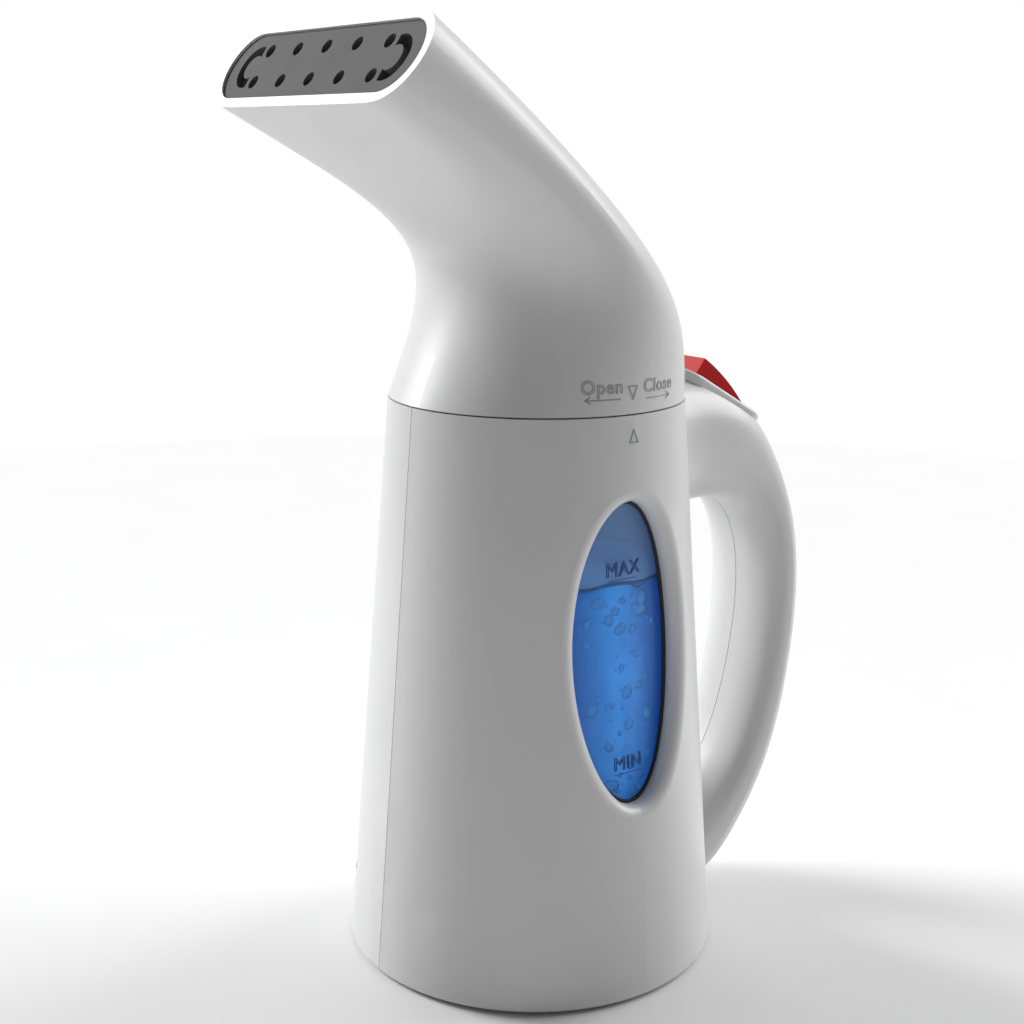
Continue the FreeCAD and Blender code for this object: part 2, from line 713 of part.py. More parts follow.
def spout_shell():
    """Outer and inner lofted walls closed by flat rims and by the pocket of the nozzle plate."""
    places = [0, 1 / 3] + list(range(1, HEAD_SPANS)) + [HEAD_SPANS - 1 / 3, HEAD_SPANS]
    steps = [place / HEAD_SPANS for place in places]
    outside = [head_section(t, 0) for t in steps]
    inside = [head_section(t, HEAD_WALL + MOUTH_LIP * t ** 4) for t in steps]
    centre, _, outward = mouth_frame()
    depth = PLATE_RECESS + PLATE_THICKNESS
    inside[-1] = [point - outward * depth for point in inside[-1]]
    outer = tube_face(outside)
    inner = tube_face(inside)
    pocket = stadium_prism(PLATE_HALF_LENGTH + GASKET_LINE, PLATE_HALF_WIDTH + GASKET_LINE, -depth, 0)
    pocket = mouth_place(pocket)
    caps = [face for face in pocket.Faces if abs(face.normalAt(0.5, 0.5).dot(outward)) > 0.5]
    sides = [face for face in pocket.Faces if abs(face.normalAt(0.5, 0.5).dot(outward)) < 0.5]
    caps.sort(key=lambda face: (face.CenterOfMass - centre).dot(outward))
    faces = [outer, inner] + sides
    faces += caps[0].cut(Part.Face(end_wire(inner, False))).Faces
    faces += Part.Face(end_wire(outer, False)).cut(caps[1]).Faces
    faces += Part.Face(end_wire(outer, True)).cut(Part.Face(end_wire(inner, True))).Faces
    skin = Part.makeCompound(faces)
    skin.sewShape()
    shell = Part.makeSolid(skin)
    return shell.cut(disc(head_width(0) - HEAD_WALL - 0.3, BODY_HEIGHT - 5, BODY_HEIGHT + 3.5))


def nozzle_plate():
    low = -PLATE_RECESS - PLATE_THICKNESS
    plate = stadium_prism(PLATE_HALF_LENGTH, PLATE_HALF_WIDTH, low, -PLATE_RECESS)
    for side in (-1, 1):
        for index in range(-2, 3):
            place = (index * STEAM_HOLE_PITCH, side * STEAM_ROW_OFFSET)
            plate = plate.cut(disc(STEAM_HOLE_RADIUS, low - 1, 1, place[0], place[1]))
        slot = ring(6.2, 3.4, low - 1, 1)
        slot = slot.cut(block(-8, -1.5, -8, 8, low - 2, 2))
        slot.translate(vec(END_SLOT_X - 3.5, 0, 0))
        plate = plate.cut(slot if side > 0 else turn(slot, 180))
    return mouth_place(plate)


def plate_gasket():
    low = -PLATE_RECESS - PLATE_THICKNESS
    high = -PLATE_RECESS
    outline = stadium_prism(PLATE_HALF_LENGTH + GASKET_LINE, PLATE_HALF_WIDTH + GASKET_LINE, low, high)
    return mouth_place(outline.cut(stadium_prism(PLATE_HALF_LENGTH, PLATE_HALF_WIDTH, low - 1, 1)))


# Switch

def switch_bezel():
    bezel = rounded_block(BEZEL_WIDTH / 2, BEZEL_LENGTH / 2, -BEZEL_HEIGHT, 0, BEZEL_CORNER)
    top = [edge for edge in bezel.Edges if edge.BoundBox.ZMin > -0.01]
    bezel = bezel.makeFillet(1.2, top)
    opening = switch_block(WELL_HALF_WIDTH, WELL_HALF_LENGTH, -9, 9)
    return switch_place(bezel.cut(opening))


def switch_housing():
    half_width = WELL_HALF_WIDTH + HOUSING_WALL
    half_length = WELL_HALF_LENGTH + HOUSING_WALL
    outside = switch_block(half_width, half_length, -HOUSING_DEPTH, -BEZEL_HEIGHT)
    inside = switch_block(WELL_HALF_WIDTH, WELL_HALF_LENGTH, -HOUSING_DEPTH + HOUSING_WALL, 1)
    bore = rod_x(PIVOT_RADIUS + SCREW_FIT, -20, 20, 0, -PIVOT_DEPTH)
    return switch_place(outside.cut(inside).cut(bore))


def switch_terminals():
    tabs = [block(x - 0.4, x + 0.4, -2.4, 2.4, -HOUSING_DEPTH - 6, -HOUSING_DEPTH) for x in (-WIRE_X, WIRE_X)]
    return switch_place(group(tabs))


def rocker():
    front = vec(0, -ROCKER_HALF_LENGTH, -PIVOT_DEPTH)
    foot = vec(0, -ROCKER_HALF_LENGTH + 0.3, 0.4)
    peak = vec(0, -ROCKER_HALF_LENGTH + 1.3, ROCKER_PEAK)
    tail = vec(0, ROCKER_HALF_LENGTH - 0.4, 0.4)
    rear = vec(0, ROCKER_HALF_LENGTH, -PIVOT_DEPTH)
    below = vec(0, 0, -PIVOT_DEPTH - PIVOT_RADIUS - 1.4)
    crown = Part.Arc(peak, vec(0, 1.0, 4.1), tail).toShape()
    belly = Part.Arc(rear, below, front).toShape()
    outline = Part.Wire([Part.makeLine(front, foot), Part.makeLine(foot, peak), crown,
                         Part.makeLine(tail, rear), belly])
    body = Part.Face(outline).extrude(vec(2 * ROCKER_HALF_WIDTH, 0, 0))
    body.translate(vec(-ROCKER_HALF_WIDTH, 0, 0))
    pin = rod_x(PIVOT_RADIUS, -WELL_HALF_WIDTH - 1.3, WELL_HALF_WIDTH + 1.3, 0, -PIVOT_DEPTH)
    return switch_place(merge(body, [pin]))


# Wires

def gap_point(x, z):
    """Middle of the space between tank and shell."""
    radius = body_radius(z) - (SHELL_WALL + TANK_INSET) / 2
    return vec(x, math.sqrt(radius * radius - x * x), z)


def switch_wires():
    _, out = switch_direction()
    tab_end = vec(0, SWITCH_Y, SWITCH_Z) - out * (HOUSING_DEPTH + 6)
    wires = []
    for x in (-WIRE_X, WIRE_X):
        top = tab_end + vec(x, 0, 0)
        corners = [
            top,
            top - out * 7,
            gap_point(x, 131),
            gap_point(x, 26),
            vec(x, 37.5, 20),
            vec(x, 37.5, BASE_PLATE_HIGH + 7.5),
        ]
        wires.append(tube(corners, 2.5, WIRE_RADIUS))
    return group(wires)


def heater_wires():
    wires = []
    y = math.sqrt(ELEMENT_RADIUS * ELEMENT_RADIUS - WIRE_X * WIRE_X)
    z = BASE_PLATE_HIGH + 5
    for x in (-WIRE_X, WIRE_X):
        corners = [vec(x, 32.5, z), vec(x, y, z), vec(x, y, element_centre_z() - 10)]
        wires.append(tube(corners, 3, WIRE_RADIUS))
    return group(wires)


def main():
    os.makedirs("parts", exist_ok=True)
    outer = outer_form()
    inner = inner_form()
    right = soften_window(shell(1, outer, inner), 1)
    left = soften_window(shell(-1, outer, inner), -1)
    nodes = {
        "shell_right": right,
        "shell_left": left,
        "shell_screws": shell_screws(),
        "base_plate": base_plate(),
        "base_screws": base_screws(),
        "rubber_feet": rubber_feet(),
        "cord_bush": cord_bush(),
        "cord_clamp": cord_clamp(),
        "clamp_screws": clamp_screws(),
        "terminal_block": terminal_block(),
        "terminal_clamps": terminal_clamps(),
        "terminal_screws": terminal_screws(),
        "water_tank": water_tank(),
        "tank_gasket": tank_gasket(),
        "heater_gasket": heater_gasket(),
        "heater_plate": heater_plate(),
        "heating_element": heating_element(),
        "thermostat": thermostat(),
        "thermostat_tabs": thermostat_tabs(),
        "thermal_fuse": thermal_fuse(),
        "heat_shield": heat_shield(),
        "boiler_dome": boiler_dome(),
        "neck_ring": neck_ring(),
        "twist_ring": twist_ring(),
        "head_seal": head_seal(),
        "steam_baffle": steam_baffle(),
        "spout_shell": spout_shell(),
        "nozzle_plate": nozzle_plate(),
        "plate_gasket": plate_gasket(),
        "switch_bezel": switch_bezel(),
        "switch_housing": switch_housing(),
        "switch_terminals": switch_terminals(),
        "rocker": rocker(),
        "switch_wires": switch_wires(),
        "heater_wires": heater_wires(),
    }
    for node, shape in nodes.items():
        save(shape, node)


main()
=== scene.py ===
import bpy
import json
import math
import random
from mathutils import Matrix, Vector
from mathutils.bvhtree import BVHTree

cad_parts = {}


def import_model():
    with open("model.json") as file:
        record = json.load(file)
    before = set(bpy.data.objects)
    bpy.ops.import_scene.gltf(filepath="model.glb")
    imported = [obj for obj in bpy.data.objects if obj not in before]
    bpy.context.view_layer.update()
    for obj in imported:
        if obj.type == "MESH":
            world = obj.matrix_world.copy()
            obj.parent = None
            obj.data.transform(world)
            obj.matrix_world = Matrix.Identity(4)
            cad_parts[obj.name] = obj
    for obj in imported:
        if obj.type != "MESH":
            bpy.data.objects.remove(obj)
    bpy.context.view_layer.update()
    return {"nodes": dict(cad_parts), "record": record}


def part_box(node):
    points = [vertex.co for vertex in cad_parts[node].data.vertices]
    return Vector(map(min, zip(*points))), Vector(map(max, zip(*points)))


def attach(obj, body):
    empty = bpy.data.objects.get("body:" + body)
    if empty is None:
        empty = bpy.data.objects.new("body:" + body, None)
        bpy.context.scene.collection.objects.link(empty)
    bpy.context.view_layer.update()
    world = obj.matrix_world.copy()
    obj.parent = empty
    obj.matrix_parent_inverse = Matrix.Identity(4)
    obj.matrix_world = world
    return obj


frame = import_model()

# Sizes in metres, angles in degrees
BASE_RADIUS = 0.0526
SEAM_RADIUS = 0.0405
BODY_HEIGHT = 0.158
WINDOW_Z = 0.0942
WINDOW_HALF_HEIGHT = 0.0408
WINDOW_HALF_WIDTH = 0.0166
TANK_OUTER_INSET = 0.0055
TANK_INNER_INSET = 0.0075
WATER_GAP = 0.0011
WATER_LINE = 0.1122
WATER_LOW = 0.0443
DOME_TOP = 0.0545
DOME_REACH = 0.0192
WAVE_TILT = 0.0022
WAVE_TILT_AT = 100
WAVE_RIPPLE = 0.0005
WAVE_FINE_RIPPLE = 0.0004
WATER_PAINTED_LIGHT_REACH = 0.017
EDGE_STEADY_THICK = 0.00055
EDGE_WANDERING_THICK = 0.0004
EDGE_DROP = 0.0003
EDGE_WANDER = 0.00112
EDGE_FINE_WANDER = 0.0008
# The pale sheet of painted light inside the tank above the water
PAINTED_LIGHT_SHEET_TOP = 0.143
PAINTED_LIGHT_SHEET_RISE = 0.0004
PAINTED_LIGHT_SHEET_GAP = 0.0003
SHADE_RING_THICK = 0.0005
BUBBLE_COUNT = 260
BUBBLE_LOW = 0.054
BUBBLE_TOP_MARGIN = 0.003
BUBBLE_SMALLEST = 0.0003
BUBBLE_GROWTH = 0.0019
BUBBLE_SPREAD_RADIANS = 0.21
FLOOR_RADIUS = 0.8

# Marks, degrees round the axis from +X and heights in metres
OPEN_AT = (-12.8, 0.1636)
CLOSE_AT = (13.6, 0.1632)
WORD_HEIGHT = 0.0034
ARROW_LENGTH = 0.0098
ARROW_DROP = 0.0016
BARB_LENGTH = 0.0014
BARB_RISE = 0.0008
POINTER_SIZE = 0.0033
HEAD_POINTER_Z = 0.1634
BODY_POINTER_Z = 0.1524
MAX_Z = 0.1152
MIN_Z = 0.0628
LEVEL_HEIGHT = 0.0036
LEVEL_LINE_HALF = 0.0045
LEVEL_LINE_DROP = 0.0012
FINE_STROKE = 0.00012
BOLD_STROKE = 0.00016
STROKE_STEP = 0.001
CAPITAL_SHARE = 0.7

# Camera, metres and degrees, and its lens in millimetres
CAMERA_AT = (0.3346, -0.2568, 0.2237)
CAMERA_AZIMUTH = 53.36
CAMERA_PITCH = 13.23
CAMERA_ROLL = 0.518
CAMERA_LENS = 54.69

# Light: each sun's direction, strength and spread in degrees. The room is dimmest toward
# DIM_SIDE, and falls to that level between two cosines of the angle to it.
SUNS = (
    ("left_rear", (-0.90, -0.45, 0.55), 2.9, 24),
    ("right_rear", (0.18, 0.99, 0.60), 1.9, 40),
)
DIM_SIDE = (0.80, -0.60, 0.25)
DIM_FROM_COSINE = -0.6
DIM_TO_COSINE = 0.4
ROOM_BRIGHT = 0.9
ROOM_DIM = 0.12

# Colours used more than once
BODY_WHITE = (0.68, 0.68, 0.685)
# Pale grey-blue of the painted light above the water
PAINTED_LIGHT_SHEET_GREY = (0.34, 0.47, 0.62)


def body_radius(z):
    """Outside radius of the tapered body at a height."""
    return BASE_RADIUS + (SEAM_RADIUS - BASE_RADIUS) * z / BODY_HEIGHT


# Materials

def material(name, color, roughness, metallic=0.0):
    mat = bpy.data.materials.new(name)
    mat.use_nodes = True
    shader = mat.node_tree.nodes["Principled BSDF"]
    shader.inputs["Base Color"].default_value = (*color, 1)
    shader.inputs["Roughness"].default_value = roughness
    shader.inputs["Metallic"].default_value = metallic
    return mat, mat.node_tree, shader


def node(tree, kind, **values):
    made = tree.nodes.new(kind)
    for key, value in values.items():
        if key in made.inputs:
            made.inputs[key].default_value = value
        else:
            setattr(made, key, value)
    return made


def noise(tree, scale, detail=3.0):
    place = node(tree, "ShaderNodeTexCoord")
    texture = node(tree, "ShaderNodeTexNoise", Scale=scale, Detail=detail)
    tree.links.new(place.outputs["Object"], texture.inputs["Vector"])
    return texture.outputs["Fac"]


def ramp(tree, source, low, high):
    """Maps 0..1 noise onto low..high."""
    made = node(tree, "ShaderNodeMapRange")
    made.inputs["To Min"].default_value = low
    made.inputs["To Max"].default_value = high
    tree.links.new(source, made.inputs["Value"])
    return made.outputs["Result"]


def mixed(tree, source, first, second):
    made = node(tree, "ShaderNodeMix", data_type="RGBA")
    made.inputs["A"].default_value = (*first, 1)
    made.inputs["B"].default_value = (*second, 1)
    tree.links.new(source, made.inputs["Factor"])
    return made.outputs["Result"]


def bump(tree, source, strength, distance):
    made = node(tree, "ShaderNodeBump", Strength=strength, Distance=distance)
    tree.links.new(source, made.inputs["Height"])
    return made.outputs["Normal"]


def plastic(name, color, roughness, grain=900.0, depth=0.00003, strength=0.25, coat=0.0, shine=0.5):
    """Moulded plastic: faint cloudiness, uneven gloss and a fine grain."""
    mat, tree, shader = material(name, color, roughness)
    darker = tuple(0.96 * c for c in color)
    tree.links.new(mixed(tree, noise(tree, 18.0), darker, color), shader.inputs["Base Color"])
    gloss = ramp(tree, noise(tree, 60.0), roughness - 0.05, roughness + 0.06)
    tree.links.new(gloss, shader.inputs["Roughness"])
    tree.links.new(bump(tree, noise(tree, grain), strength, depth), shader.inputs["Normal"])
    shader.inputs["Coat Weight"].default_value = coat
    shader.inputs["Specular IOR Level"].default_value = shine
    return mat


def metal(name, color, roughness, squeeze=(1, 1, 1)):
    """Bare metal with a fine uneven grain, packed closer along an axis whose squeeze is above 1."""
    mat, tree, shader = material(name, color, roughness, 1.0)
    place = node(tree, "ShaderNodeTexCoord")
    mapping = node(tree, "ShaderNodeMapping", Scale=squeeze)
    texture = node(tree, "ShaderNodeTexNoise", Scale=600.0, Detail=4.0)
    tree.links.new(place.outputs["Object"], mapping.inputs["Vector"])
    tree.links.new(mapping.outputs["Vector"], texture.inputs["Vector"])
    dark = tuple(0.8 * c for c in color)
    grain = texture.outputs["Fac"]
    tree.links.new(mixed(tree, grain, dark, color), shader.inputs["Base Color"])
    tree.links.new(ramp(tree, grain, roughness - 0.08, roughness + 0.1), shader.inputs["Roughness"])
    tree.links.new(bump(tree, grain, 0.15, 0.00002), shader.inputs["Normal"])
    return mat


def clear_tank():
    """Tinted clear moulding, thin enough to see the water through."""
    mat = plastic("tank_clear_look", (0.10, 0.36, 0.84), 0.1, grain=90.0, depth=0.00004, strength=0.12)
    shader = mat.node_tree.nodes["Principled BSDF"]
    shader.inputs["Alpha"].default_value = 0.2
    shader.inputs["IOR"].default_value = 1.49
    return mat


def water_look():
    """Blue water with painted light: brightest behind the middle of a window, in slow uneven swirls,
    and glowing a little as if lit from behind, with a rippled surface.
    """
    mat, tree, shader = material("water_look", (0.03, 0.18, 0.62), 0.12)
    place = node(tree, "ShaderNodeTexCoord")
    split = node(tree, "ShaderNodeSeparateXYZ")
    tree.links.new(place.outputs["Object"], split.inputs["Vector"])
    aside = node(tree, "ShaderNodeMath", operation="ABSOLUTE")
    tree.links.new(split.outputs["Y"], aside.inputs[0])
    # Painted light: the water is brightest straight behind a window and fades towards either side
    depth = node(tree, "ShaderNodeMapRange")
    depth.inputs["From Max"].default_value = WATER_PAINTED_LIGHT_REACH
    depth.inputs["To Min"].default_value = 1.0
    depth.inputs["To Max"].default_value = 0.0
    tree.links.new(aside.outputs["Value"], depth.inputs["Value"])
    painted_light_drift = node(tree, "ShaderNodeMath", operation="MULTIPLY")
    tree.links.new(depth.outputs["Result"], painted_light_drift.inputs[0])
    tree.links.new(ramp(tree, noise(tree, 60.0, 5.0), 0.2, 1.7), painted_light_drift.inputs[1])
    blue = mixed(tree, painted_light_drift.outputs["Value"], (0.010, 0.07, 0.42), (0.06, 0.40, 0.95))
    tree.links.new(blue, shader.inputs["Base Color"])
    # The water also glows: painted light standing in for light through the tank from behind
    tree.links.new(blue, shader.inputs["Emission Color"])
    shader.inputs["Emission Strength"].default_value = 0.3
    tree.links.new(ramp(tree, noise(tree, 90.0), 0.08, 0.2), shader.inputs["Roughness"])
    tree.links.new(bump(tree, noise(tree, 160.0, 2.0), 0.5, 0.0006), shader.inputs["Normal"])
    shader.inputs["IOR"].default_value = 1.33
    shader.inputs["Transmission Weight"].default_value = 0.12
    return mat


def painted_light_sheet_look():
    """Painted light: a pale, glowing sheet on the tank wall above the water, brightening the tank
    there.
    """
    mat = plastic("painted_light_sheet_look", PAINTED_LIGHT_SHEET_GREY, 0.5, grain=700.0, depth=0.0001, strength=0.5)
    shader = mat.node_tree.nodes["Principled BSDF"]
    shader.inputs["Alpha"].default_value = 0.6
    # The sheet glows: painted light standing in for light through the tank from behind
    shader.inputs["Emission Color"].default_value = (*PAINTED_LIGHT_SHEET_GREY, 1)
    shader.inputs["Emission Strength"].default_value = 0.12
    return mat


def bubble_look():
    """Bubbles are bright in the middle and dark blue at their edge, as a painted highlight and painted
    shade, and glow a little as painted light.
    """
    mat, tree, shader = material("bubble_look", (0.1, 0.4, 0.85), 0.08)
    # Painted highlight where a bubble faces the eye, painted shade towards its rim
    edge = node(tree, "ShaderNodeLayerWeight", Blend=0.45)
    blue = mixed(tree, edge.outputs["Facing"], (0.05, 0.30, 0.74), (0.001, 0.008, 0.07))
    tree.links.new(blue, shader.inputs["Base Color"])
    # The glow is painted light
    tree.links.new(blue, shader.inputs["Emission Color"])
    shader.inputs["Emission Strength"].default_value = 0.3
    tree.links.new(bump(tree, noise(tree, 1500.0), 0.2, 0.0001), shader.inputs["Normal"])
    return mat


LOOKS = {
    "body_plastic": plastic("body_plastic_look", BODY_WHITE, 0.36, coat=0.08),
    "head_plastic": plastic("head_plastic_look", BODY_WHITE, 0.36, coat=0.08),
    "base_plastic": plastic("base_plastic_look", (0.62, 0.62, 0.63), 0.5),
    "foot_rubber": plastic("foot_rubber_look", (0.03, 0.03, 0.03), 0.75, grain=500.0),
    "black_rubber": plastic("black_rubber_look", (0.012, 0.012, 0.012), 0.7, grain=500.0),
    "screw_steel": metal("screw_steel_look", (0.55, 0.55, 0.56), 0.35),
    "terminal_plastic": plastic("terminal_plastic_look", (0.75, 0.73, 0.66), 0.55),
    "brass": metal("brass_look", (0.78, 0.58, 0.25), 0.3),
    "tank_clear": clear_tank(),
    "silicone": plastic("silicone_look", (0.62, 0.6, 0.56), 0.6),
    "heater_alloy": metal("heater_alloy_look", (0.6, 0.6, 0.62), 0.5),
    "element_steel": metal("element_steel_look", (0.35, 0.34, 0.34), 0.4, squeeze=(1, 1, 8)),
    "thermostat_ceramic": plastic("thermostat_ceramic_look", (0.8, 0.77, 0.7), 0.6),
    "fuse_metal": metal("fuse_metal_look", (0.7, 0.7, 0.7), 0.3),
    "shield_steel": metal("shield_steel_look", (0.5, 0.5, 0.52), 0.4, squeeze=(1, 1, 10)),
    "dome_plastic": plastic("dome_plastic_look", (0.8, 0.8, 0.78), 0.5),
    "neck_plastic": plastic("neck_plastic_look", (0.7, 0.7, 0.7), 0.45),
    "bezel_plastic": plastic("bezel_plastic_look", (0.67, 0.67, 0.675), 0.36, coat=0.08),
    "housing_plastic": plastic("housing_plastic_look", (0.02, 0.02, 0.02), 0.5),
    "wire_red": plastic("wire_red_look", (0.45, 0.02, 0.02), 0.5),
    "wire_white": plastic("wire_white_look", (0.8, 0.8, 0.76), 0.6),
    "plate_grey": plastic("plate_grey_look", (0.13, 0.13, 0.133), 0.75, grain=700.0, depth=0.00005,
                          strength=0.35, shine=0.2),
    "rocker_red": plastic("rocker_red_look", (0.52, 0.004, 0.003), 0.5, shine=0.2),
}
WATER = water_look()
PAINTED_LIGHT_SHEET = painted_light_sheet_look()
BUBBLE = bubble_look()
# Dark blue: print for the tank's level marks, and painted shade along the waterline
INK_AND_PAINTED_SHADE = plastic("ink_and_painted_shade_look", (0.01, 0.045, 0.22), 0.4)
# Grey painted shade for the raised marks on the white plastic, standing in for the shadows along their
# edges
RELIEF_PAINTED_SHADE = plastic("relief_painted_shade_look", (0.34, 0.34, 0.35), 0.4)


def dress_nodes():
    """Gives every node the look that its record's material slot names."""
    for part in frame["record"]["subparts"]:
        obj = frame["nodes"][part["node"]]
        look = LOOKS[part["material_slot"]]
        if not obj.data.materials:
            obj.data.materials.append(look)
        for index in range(len(obj.data.materials)):
            obj.data.materials[index] = look


# Pieces

def piece(name, points, faces, look, body, smooth=True):
    """One mesh with one look, riding on a moving body."""
    mesh = bpy.data.meshes.new(name)
    mesh.from_pydata(points, [], faces)
    mesh.validate()
    mesh.materials.append(look)
    for face in mesh.polygons:
        face.use_smooth = smooth
    obj = bpy.data.objects.new(name, mesh)
    bpy.context.scene.collection.objects.link(obj)
    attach(obj, body)


def sheet_faces(first, rows, around):
    """Quads between rows of points, each row running once round."""
    faces = []
    for row in range(rows):
        low = first + row * around
        high = low + around
        for step in range(around):
            ahead = (step + 1) % around
            faces.append((low + step, low + ahead, high + ahead, high + step))
    return faces


def ring_faces(first, around, sides):
    """Quads of a closed ring, whose section has the given number of sides."""
    faces = []
    for step in range(around):
        here = first + step * sides
        ahead = first + (step + 1) % around * sides
        for corner in range(sides):
            following = (corner + 1) % sides
            faces.append((here + corner, ahead + corner, ahead + following, here + following))
    return faces


def wave(angle, reach):
    """Height of the rippled surface above the water line."""
    tilt = WAVE_TILT * reach * math.cos(angle + math.radians(WAVE_TILT_AT))
    ripple = WAVE_RIPPLE * math.sin(5 * angle + 0.6) + WAVE_FINE_RIPPLE * math.sin(11 * angle + 2)
    return tilt + ripple * (0.4 + 0.6 * reach)


def water():
    """Fills the tank round the boiler dome up to a tilted, rippled surface."""
    around = 96
    profile = [(0.0, DOME_TOP), (DOME_REACH, DOME_TOP), (DOME_REACH, WATER_LOW)]
    levels = 24
    for step in range(levels + 1):
        z = WATER_LOW + (WATER_LINE - WATER_LOW) * step / levels
        profile.append((body_radius(z) - TANK_INNER_INSET - WATER_GAP, z))
    edge = profile[-1][0]
    profile += [(edge * share, WATER_LINE) for share in (0.9, 0.75, 0.6, 0.45, 0.3, 0.15, 0.0)]
    points = []
    for reach, z in profile:
        for step in range(around):
            angle = 2 * math.pi * step / around
            fade = max(0.0, (z - WATER_LOW) / (WATER_LINE - WATER_LOW)) ** 6
            lift = wave(angle, reach / edge) * fade
            points.append((reach * math.cos(angle), reach * math.sin(angle), z + lift))
    piece("water", points, sheet_faces(0, len(profile) - 1, around), WATER, "body")


def water_edge():
    """Two dark lines of painted shade where the rippled surface meets the tank wall. The second one
    wanders.
    """
    around = 180
    sides = 6
    radius = body_radius(WATER_LINE) - TANK_INNER_INSET - WATER_GAP
    points = []
    faces = []
    for wandering, thick in ((0, EDGE_STEADY_THICK), (1, EDGE_WANDERING_THICK)):
        first = len(points)
        for step in range(around):
            angle = 2 * math.pi * step / around
            wander = EDGE_WANDER * math.sin(7 * angle + 2) + EDGE_FINE_WANDER * math.sin(17 * angle + 1)
            z = WATER_LINE + wave(angle, 1.0) - EDGE_DROP + wandering * wander
            for corner in range(sides):
                turned = 2 * math.pi * corner / sides
                reach = radius + thick * math.cos(turned)
                height = z + thick * math.sin(turned)
                points.append((reach * math.cos(angle), reach * math.sin(angle), height))
        faces += ring_faces(first, around, sides)
    # Painted shade: dark blue lines stand in for the shade along the waterline
    piece("water_edge", points, faces, INK_AND_PAINTED_SHADE, "body")


def painted_light_sheet():
    """Pale sheet of painted light inside the tank wall, from the water surface up to the shoulder."""
    around = 96
    rows = 10
    points = []
    for row in range(rows + 1):
        for step in range(around):
            angle = 2 * math.pi * step / around
            low = WATER_LINE + wave(angle, 1.0) + PAINTED_LIGHT_SHEET_RISE
            z = low + (PAINTED_LIGHT_SHEET_TOP - low) * row / rows
            reach = body_radius(z) - TANK_INNER_INSET - PAINTED_LIGHT_SHEET_GAP
            points.append((reach * math.cos(angle), reach * math.sin(angle), z))
    piece("painted_light_sheet", points, sheet_faces(0, rows, around), PAINTED_LIGHT_SHEET, "body")


def window_shade_ring(name, side):
    """Thin dark ring of painted shade between the window frame and the tank, on the +X side for 1 and
    -X for -1.
    """
    around = 120
    sides = 8
    points = []
    for step in range(around):
        angle = 2 * math.pi * step / around
        y = (WINDOW_HALF_WIDTH - SHADE_RING_THICK) * math.cos(angle)
        z = WINDOW_Z + (WINDOW_HALF_HEIGHT - SHADE_RING_THICK) * math.sin(angle)
        reach = body_radius(z) - TANK_OUTER_INSET + SHADE_RING_THICK * 0.6
        centre = Vector((side * math.sqrt(reach * reach - y * y), y, z))
        inward = Vector((0, -math.cos(angle), -math.sin(angle)))
        for corner in range(sides):
            turned = 2 * math.pi * corner / sides
            outward = Vector((side * SHADE_RING_THICK * math.cos(turned), 0, 0))
            points.append(tuple(centre + outward + inward * SHADE_RING_THICK * math.sin(turned)))
    # The ring wears the black rubber look as painted shade round the pane's edge
    piece(name, points, ring_faces(0, around, sides), LOOKS["black_rubber"], "body")


def bubbles():
    """Wobbly flattened bubbles on the outside of the water, half of them behind each window."""
    chance = random.Random(7)
    points = []
    faces = []
    rings = 8
    sectors = 12
    for index in range(BUBBLE_COUNT):
        side = math.pi * (index % 2)
        z = chance.uniform(BUBBLE_LOW, WATER_LINE - BUBBLE_TOP_MARGIN)
        around = side + chance.gauss(0, BUBBLE_SPREAD_RADIANS)
        size = BUBBLE_SMALLEST + BUBBLE_GROWTH * chance.random() ** 5
        centre_radius = body_radius(z) - TANK_INNER_INSET - WATER_GAP
        out = Vector((math.cos(around), math.sin(around), 0))
        across = Vector((-math.sin(around), math.cos(around), 0))
        centre = out * centre_radius + Vector((0, 0, z))
        squash = chance.uniform(0.75, 1.25)
        phase = chance.uniform(0, 6.28)
        first = len(points)
        for row in range(rings + 1):
            polar = math.pi * row / rings
            for step in range(sectors):
                angle = 2 * math.pi * step / sectors
                swell = 1 + 0.13 * math.sin(2 * angle + phase)
                flat = size * math.sin(polar) * swell
                point = centre + across * flat * squash * math.cos(angle)
                point += Vector((0, 0, 1)) * flat * math.sin(angle)
                point += out * 0.5 * size * math.cos(polar)
                points.append(tuple(point))
        faces += sheet_faces(first, rings, sectors)
    piece("bubbles", points, faces, BUBBLE, "body")


# Marks

def surface_of(name):
    return BVHTree.FromObject(frame["nodes"][name], bpy.context.evaluated_depsgraph_get())


SURFACES = {name: surface_of(name) for name in ("spout_shell", "shell_right", "water_tank")}


def outline_mesh(words, height, thick):
    """Lettering drawn as a raised line round each letter."""
    curve = bpy.data.curves.new("words", "FONT")
    curve.body = words
    curve.align_x = "CENTER"
    curve.size = height / CAPITAL_SHARE
    curve.space_character = 1.08
    curve.fill_mode = "NONE"
    curve.bevel_depth = thick
    curve.bevel_resolution = 1
    curve.resolution_u = 4
    holder = bpy.data.objects.new("words", curve)
    bpy.context.scene.collection.objects.link(holder)
    graph = bpy.context.evaluated_depsgraph_get()
    mesh = bpy.data.meshes.new_from_object(holder.evaluated_get(graph))
    points = [tuple(vertex.co) for vertex in mesh.vertices]
    faces = [tuple(face.vertices) for face in mesh.polygons]
    bpy.data.objects.remove(holder)
    return points, faces


